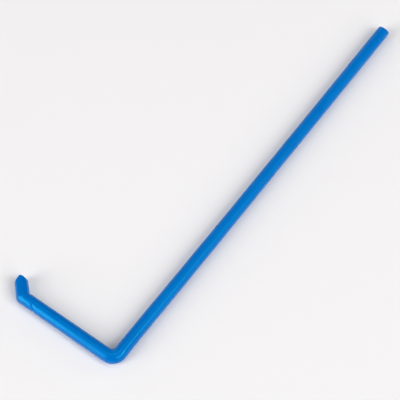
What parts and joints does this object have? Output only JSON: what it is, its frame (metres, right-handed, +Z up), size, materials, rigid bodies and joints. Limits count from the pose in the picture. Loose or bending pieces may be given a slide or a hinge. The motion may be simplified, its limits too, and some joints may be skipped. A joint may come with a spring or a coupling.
{
  "type": "cell spreader",
  "caption": "L-shaped plastic cell spreader: a slim round handle, a short spreading arm square to it, and a small angled hook cut to a point.",
  "frame": {"origin": "centre of the part's footprint, at the surface it lies on", "axes": "+Y along the handle towards its free end, -X along the spreading arm towards the hook, +Z up. The part lies flat, as it comes to rest."},
  "size_m": [0.0416, 0.145, 0.0043],
  "materials": {
    "blue_plastic": "semi-gloss moulded plastic"
  },
  "bodies": {
    "root": {"spreader": "blue_plastic"}
  },
  "joints": []
}
